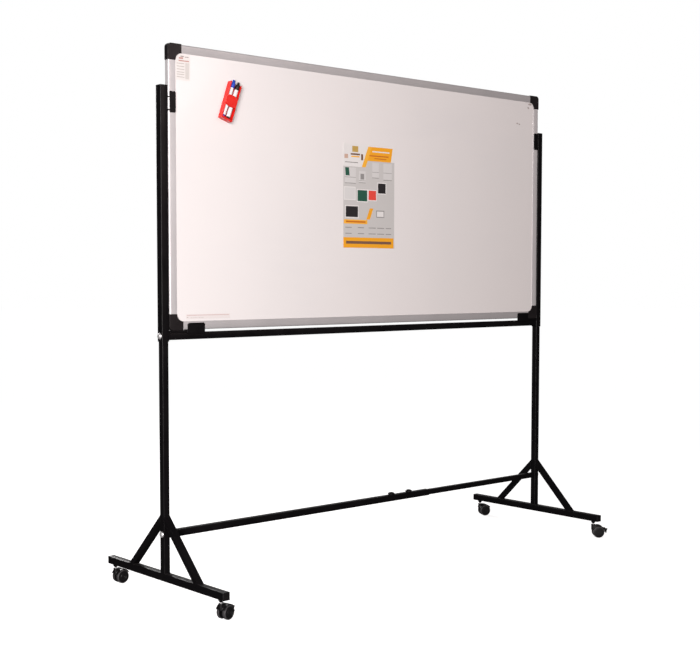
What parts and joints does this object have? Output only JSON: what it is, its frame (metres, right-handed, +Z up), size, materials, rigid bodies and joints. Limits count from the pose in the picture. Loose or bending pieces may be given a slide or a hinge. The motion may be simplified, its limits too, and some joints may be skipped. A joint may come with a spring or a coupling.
{
  "type": "rolling whiteboard",
  "caption": "Wide framed whiteboard on a height-adjustable steel stand with braked twin-wheel casters, a telescoping lower crossbar with clamp knobs, and a magnetic marker holder.",
  "frame": {"origin": "on the floor, midway between the two uprights and under the middle of the feet", "axes": "+X runs along the board to the right as seen from its writing side, the writing side faces -Y, and +Z is up"},
  "size_m": [2.1105, 0.7486, 1.9678],
  "materials": {
    "black_powder_coat": "satin black powder coat",
    "black_plastic": "fine-grained black moulding",
    "caster_plastic": "semi-gloss black nylon",
    "wheel_plastic": "semi-matte black nylon",
    "anodised_aluminium": "satin anodised extrusion",
    "white_enamel": "glossy white lacquer on steel sheet",
    "galvanised_backing": "fibre core with a galvanised backing sheet",
    "chrome": "bright plating",
    "red_plastic": "glossy red moulding",
    "marker_blue": "white barrel with a blue cap",
    "marker_black": "white barrel with a black cap"
  },
  "bodies": {
    "base": {"post_left": "black_powder_coat", "post_right": "black_powder_coat", "lower_crossbar_outer": "black_powder_coat", "lower_crossbar_inner": "black_powder_coat", "lower_bolt_left": "chrome", "lower_bolt_right": "chrome", "foot_left": "black_powder_coat", "foot_right": "black_powder_coat", "strut_left_front": "black_powder_coat", "strut_left_rear": "black_powder_coat", "strut_right_front": "black_powder_coat", "strut_right_rear": "black_powder_coat", "foot_cap_left_front": "black_plastic", "foot_cap_left_rear": "black_plastic", "foot_cap_right_front": "black_plastic", "foot_cap_right_rear": "black_plastic", "caster_left_front_stem": "chrome", "caster_left_rear_stem": "chrome", "caster_right_front_stem": "chrome", "caster_right_rear_stem": "chrome"},
    "upper_frame": {"writing_surface": "white_enamel", "board_core": "galvanised_backing", "rail_top": "anodised_aluminium", "rail_bottom": "anodised_aluminium", "rail_left": "anodised_aluminium", "rail_right": "anodised_aluminium", "corner_cap_bottom_left": "black_plastic", "corner_cap_bottom_right": "black_plastic", "corner_cap_top_left": "black_plastic", "corner_cap_top_right": "black_plastic", "upright_left": "black_powder_coat", "upright_right": "black_powder_coat", "top_plug_left": "black_plastic", "top_plug_right": "black_plastic", "side_clip_left": "black_powder_coat", "side_clip_right": "black_powder_coat", "bottom_clip_left": "black_powder_coat", "bottom_clip_right": "black_powder_coat", "upper_bolt_left": "chrome", "upper_bolt_right": "chrome", "upper_crossbar": "black_powder_coat", "marker_holder": "red_plastic"},
    "marker_blue": {"marker_blue": "marker_blue"},
    "marker_black": {"marker_black": "marker_black"},
    "clamp_knob_1": {"clamp_knob_1": "black_plastic"},
    "clamp_knob_2": {"clamp_knob_2": "black_plastic"},
    "caster_left_front": {"caster_left_front_hood": "caster_plastic"},
    "caster_left_front_wheel_a": {"caster_left_front_wheel_a": "wheel_plastic"},
    "caster_left_front_wheel_b": {"caster_left_front_wheel_b": "wheel_plastic"},
    "caster_left_front_brake": {"caster_left_front_brake": "caster_plastic"},
    "caster_left_rear": {"caster_left_rear_hood": "caster_plastic"},
    "caster_left_rear_wheel_a": {"caster_left_rear_wheel_a": "wheel_plastic"},
    "caster_left_rear_wheel_b": {"caster_left_rear_wheel_b": "wheel_plastic"},
    "caster_right_front": {"caster_right_front_hood": "caster_plastic"},
    "caster_right_front_wheel_a": {"caster_right_front_wheel_a": "wheel_plastic"},
    "caster_right_front_wheel_b": {"caster_right_front_wheel_b": "wheel_plastic"},
    "caster_right_front_brake": {"caster_right_front_brake": "caster_plastic"},
    "caster_right_rear": {"caster_right_rear_hood": "caster_plastic"},
    "caster_right_rear_wheel_a": {"caster_right_rear_wheel_a": "wheel_plastic"},
    "caster_right_rear_wheel_b": {"caster_right_rear_wheel_b": "wheel_plastic"}
  },
  "joints": [
    {"name": "height_slide", "type": "slide", "parent": "base", "child": "upper_frame", "axis": [0, 0, 1], "range_m": [0, 0.25]},
    {"name": "marker_blue_slide", "type": "slide", "parent": "upper_frame", "child": "marker_blue", "axis": [0.3616, 0, 0.9323], "range_m": [0, 0.145]},
    {"name": "marker_black_slide", "type": "slide", "parent": "upper_frame", "child": "marker_black", "axis": [0.3616, 0, 0.9323], "range_m": [0, 0.145]},
    {"name": "clamp_knob_1_turn", "type": "hinge", "parent": "base", "child": "clamp_knob_1", "pos_m": [0.098, 0, 0.2523], "axis": [0, 0, 1], "range_deg": [0, 360]},
    {"name": "clamp_knob_2_turn", "type": "hinge", "parent": "base", "child": "clamp_knob_2", "pos_m": [0.199, 0, 0.2523], "axis": [0, 0, 1], "range_deg": [0, 360]},
    {"name": "caster_left_front_swivel", "type": "hinge", "parent": "base", "child": "caster_left_front", "pos_m": [-1.018, -0.3355, 0.06], "axis": [0, 0, 1], "continuous": true},
    {"name": "caster_left_front_wheel_a_roll", "type": "hinge", "parent": "caster_left_front", "child": "caster_left_front_wheel_a", "pos_m": [-0.99697, -0.33103, 0.025], "axis": [-0.2079, 0.9781, 0], "continuous": true},
    {"name": "caster_left_front_wheel_b_roll", "type": "hinge", "parent": "caster_left_front", "child": "caster_left_front_wheel_b", "pos_m": [-0.99697, -0.33103, 0.025], "axis": [-0.2079, 0.9781, 0], "continuous": true},
    {"name": "caster_left_front_brake_pedal", "type": "hinge", "parent": "caster_left_front", "child": "caster_left_front_brake", "pos_m": [-0.96909, -0.3251, 0.03769], "axis": [-0.2079, 0.9781, 0], "range_deg": [0, 21]},
    {"name": "caster_left_rear_swivel", "type": "hinge", "parent": "base", "child": "caster_left_rear", "pos_m": [-1.018, 0.3355, 0.06], "axis": [0, 0, 1], "continuous": true},
    {"name": "caster_left_rear_wheel_a_roll", "type": "hinge", "parent": "caster_left_rear", "child": "caster_left_rear_wheel_a", "pos_m": [-0.99651, 0.33625, 0.025], "axis": [-0.0349, 0.9994, 0], "continuous": true},
    {"name": "caster_left_rear_wheel_b_roll", "type": "hinge", "parent": "caster_left_rear", "child": "caster_left_rear_wheel_b", "pos_m": [-0.99651, 0.33625, 0.025], "axis": [-0.0349, 0.9994, 0], "continuous": true},
    {"name": "caster_right_front_swivel", "type": "hinge", "parent": "base", "child": "caster_right_front", "pos_m": [1.018, -0.3355, 0.06], "axis": [0, 0, 1], "continuous": true},
    {"name": "caster_right_front_wheel_a_roll", "type": "hinge", "parent": "caster_right_front", "child": "caster_right_front_wheel_a", "pos_m": [1.03423, -0.3496, 0.025], "axis": [0.6561, 0.7547, 0], "continuous": true},
    {"name": "caster_right_front_wheel_b_roll", "type": "hinge", "parent": "caster_right_front", "child": "caster_right_front_wheel_b", "pos_m": [1.03423, -0.3496, 0.025], "axis": [0.6561, 0.7547, 0], "continuous": true},
    {"name": "caster_right_front_brake_pedal", "type": "hinge", "parent": "caster_right_front", "child": "caster_right_front_brake", "pos_m": [1.05574, -0.3683, 0.03769], "axis": [0.6561, 0.7547, 0], "range_deg": [0, 21]},
    {"name": "caster_right_rear_swivel", "type": "hinge", "parent": "base", "child": "caster_right_rear", "pos_m": [1.018, 0.3355, 0.06], "axis": [0, 0, 1], "continuous": true},
    {"name": "caster_right_rear_wheel_a_roll", "type": "hinge", "parent": "caster_right_rear", "child": "caster_right_rear_wheel_a", "pos_m": [1.03749, 0.32641, 0.025], "axis": [0.4226, 0.9063, 0], "continuous": true},
    {"name": "caster_right_rear_wheel_b_roll", "type": "hinge", "parent": "caster_right_rear", "child": "caster_right_rear_wheel_b", "pos_m": [1.03749, 0.32641, 0.025], "axis": [0.4226, 0.9063, 0], "continuous": true}
  ]
}
